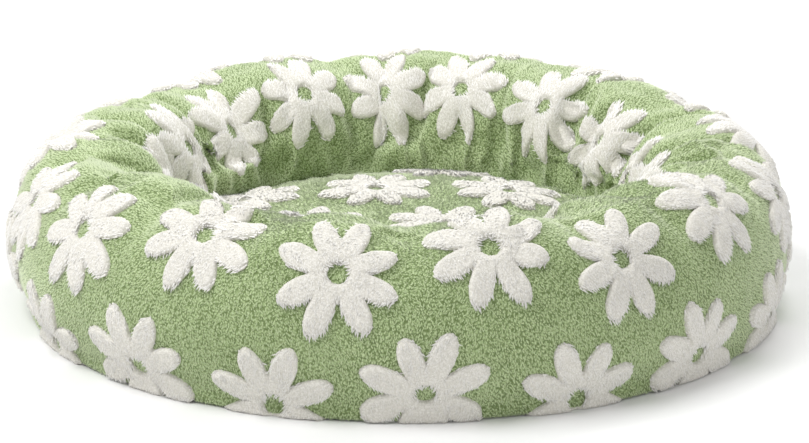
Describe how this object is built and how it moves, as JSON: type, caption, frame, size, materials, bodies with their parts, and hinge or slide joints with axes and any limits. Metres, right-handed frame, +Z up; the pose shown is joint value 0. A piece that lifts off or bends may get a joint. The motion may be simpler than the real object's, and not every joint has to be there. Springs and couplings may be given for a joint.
{
  "type": "round pet cushion bed",
  "caption": "Round padded pet bed: a stuffed ring bolster around a crowned centre cushion, in a plush cover that unzips along the foot of its back wall.",
  "frame": {"origin": "on the floor under the middle of the bed", "axes": "+Z up through the middle of the well; +Y towards the back, where the zip is; the front faces -Y; +X is the bed's right seen from the front"},
  "size_m": [0.7508, 0.7507, 0.1615],
  "materials": {
    "green_plush": "sage green short looped pile with raised off-white long-pile flowers",
    "grip_base": "plain woven base cloth printed with small clear grip dots",
    "green_tape": "matt woven polyester tape",
    "white_liner": "white non-woven lining cloth",
    "white_fibre": "loose hollow polyester fibre",
    "zip_nylon": "dyed nylon coil",
    "zip_metal": "tumbled nickel plate",
    "white_label": "blank satin ribbon"
  },
  "bodies": {
    "bed": {"bolster_panel_front": "green_plush", "bolster_panel_back": "green_plush", "centre_panel": "green_plush", "base_panel": "grip_base", "base_seam_binding": "green_tape", "gather_tape": "green_tape", "bolster_liner": "white_liner", "bolster_fill": "white_fibre", "cushion_liner": "white_liner", "cushion_fill": "white_fibre", "zip_tape_lower": "green_tape", "zip_tape_upper": "green_tape", "zip_chain_lower": "zip_nylon", "zip_chain_upper": "zip_nylon", "zip_stop_lower": "zip_metal", "zip_stop_upper": "zip_metal", "zip_box_stop": "zip_metal", "zip_end_tab_right": "green_plush", "zip_end_tab_left": "green_plush", "care_label": "white_label"},
    "zip_slider": {"zip_slider": "zip_metal"},
    "zip_pull": {"zip_pull": "zip_metal"}
  },
  "joints": [
    {"name": "zip_travel", "type": "hinge", "parent": "bed", "child": "zip_slider", "pos_m": [0, 0, 0], "axis": [0, 0, 1], "range_deg": [0, 156]},
    {"name": "zip_pull_swing", "type": "hinge", "parent": "zip_slider", "child": "zip_pull", "pos_m": [0.35775, 0.07604, 0.0161], "axis": [0.4659, 0.099, 0.8793], "range_deg": [0, 170]}
  ]
}
